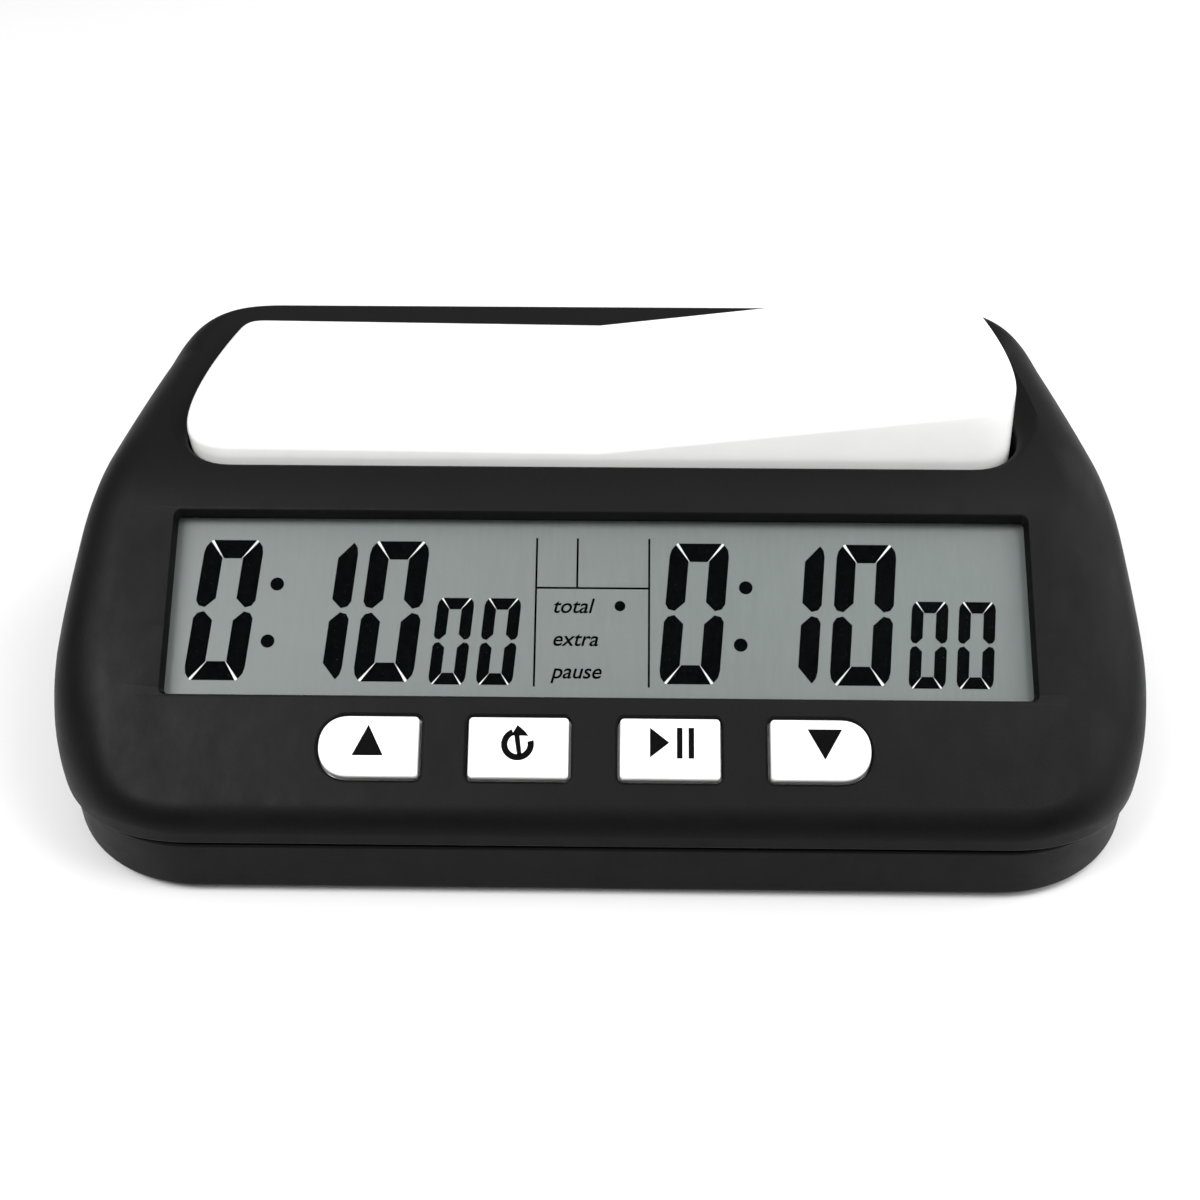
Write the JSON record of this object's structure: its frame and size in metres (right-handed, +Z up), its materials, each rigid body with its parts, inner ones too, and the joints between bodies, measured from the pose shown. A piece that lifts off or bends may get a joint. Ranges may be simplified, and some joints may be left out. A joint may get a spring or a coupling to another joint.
{
  "type": "chess clock",
  "caption": "Digital chess clock: sloping black case, wide two-player display, four keys and a white rocker that tilts between the players.",
  "frame": {"origin": "on the table, under the middle of the clock's outline", "axes": "+X to the right of a person reading the display, +Y away from that person, +Z up"},
  "size_m": [0.1524, 0.0824, 0.0518],
  "materials": {
    "case_black": "fine-grain matte moulded ABS",
    "inner_black": "plain moulded ABS",
    "white_gloss": "polished white ABS",
    "window_clear": "clear polished acrylic lens",
    "display": "grey-green liquid crystal glass",
    "silver": "satin foil and cans",
    "steel": "nickel-plated steel",
    "rubber": "matte black rubber",
    "silicone": "grey silicone rubber",
    "board": "green solder mask",
    "epoxy": "black epoxy and shrink sleeve",
    "cell_sleeve": "printed steel cell can",
    "lead_red": "red wire insulation"
  },
  "bodies": {
    "case": {"upper_case": "case_black", "lower_case": "case_black", "foot_front_left": "rubber", "foot_front_right": "rubber", "foot_rear_left": "rubber", "foot_rear_right": "rubber", "case_screw_1": "steel", "case_screw_2": "steel", "case_screw_3": "steel", "case_screw_4": "steel", "display_window": "window_clear", "lcd_front_glass": "display", "lcd_rear_glass": "display", "lcd_reflector": "silver", "lcd_frame": "inner_black", "keypad_mat": "silicone", "main_board": "board", "rocker_well": "inner_black", "rocker_axle": "steel", "rocker_snap_spring": "steel", "switch_body_left": "inner_black", "switch_body_right": "inner_black", "zebra_strip_upper": "silicone", "zebra_strip_lower": "silicone", "cob_chip": "epoxy", "crystal": "silver", "capacitor_left": "epoxy", "capacitor_right": "epoxy", "board_screw_left": "steel", "board_screw_right": "steel", "buzzer": "epoxy", "battery_cell_front": "cell_sleeve", "battery_cell_rear": "cell_sleeve", "battery_spring_front": "steel", "battery_spring_rear": "steel", "battery_contact_front": "steel", "battery_contact_rear": "steel", "power_switch_body": "silver", "battery_lead_positive": "lead_red", "battery_lead_negative": "epoxy"},
    "rocker_body": {"rocker": "white_gloss"},
    "key_up": {"button_up": "white_gloss"},
    "key_reset": {"button_reset": "white_gloss"},
    "key_play_pause": {"button_play_pause": "white_gloss"},
    "key_down": {"button_down": "white_gloss"},
    "plunger_left": {"switch_plunger_left": "white_gloss"},
    "plunger_right": {"switch_plunger_right": "white_gloss"},
    "power_knob": {"power_switch_knob": "inner_black"},
    "cover": {"battery_cover": "case_black"}
  },
  "joints": [
    {"name": "rocker_tilt", "type": "hinge", "parent": "case", "child": "rocker_body", "pos_m": [0, 0.0201, 0.0352], "axis": [0, 1, 0], "range_deg": [0, 6.8]},
    {"name": "key_up_press", "type": "slide", "parent": "case", "child": "key_up", "axis": [0, 0.512, -0.859], "range_m": [0, 0.0008], "stiffness_N_per_m": 1500},
    {"name": "key_reset_press", "type": "slide", "parent": "case", "child": "key_reset", "axis": [0, 0.512, -0.859], "range_m": [0, 0.0008], "stiffness_N_per_m": 1500},
    {"name": "key_play_pause_press", "type": "slide", "parent": "case", "child": "key_play_pause", "axis": [0, 0.512, -0.859], "range_m": [0, 0.0008], "stiffness_N_per_m": 1500},
    {"name": "key_down_press", "type": "slide", "parent": "case", "child": "key_down", "axis": [0, 0.512, -0.859], "range_m": [0, 0.0008], "stiffness_N_per_m": 1500},
    {"name": "plunger_left_travel", "type": "slide", "parent": "case", "child": "plunger_left", "axis": [0, 0, 1], "range_m": [0, 0.0029]},
    {"name": "plunger_right_travel", "type": "slide", "parent": "case", "child": "plunger_right", "axis": [0, 0, 1], "range_m": [-0.0029, 0]},
    {"name": "power_switch_slide", "type": "slide", "parent": "case", "child": "power_knob", "axis": [1, 0, 0], "range_m": [0, 0.0025]},
    {"name": "battery_cover_removal", "type": "slide", "parent": "case", "child": "cover", "axis": [0, 0, -1], "range_m": [0, 0.012]}
  ],
  "couplings": [
    {"joint": "plunger_left_travel", "follows": "rocker_tilt", "m_per_rad": 0.024},
    {"joint": "plunger_right_travel", "follows": "rocker_tilt", "m_per_rad": -0.024}
  ]
}
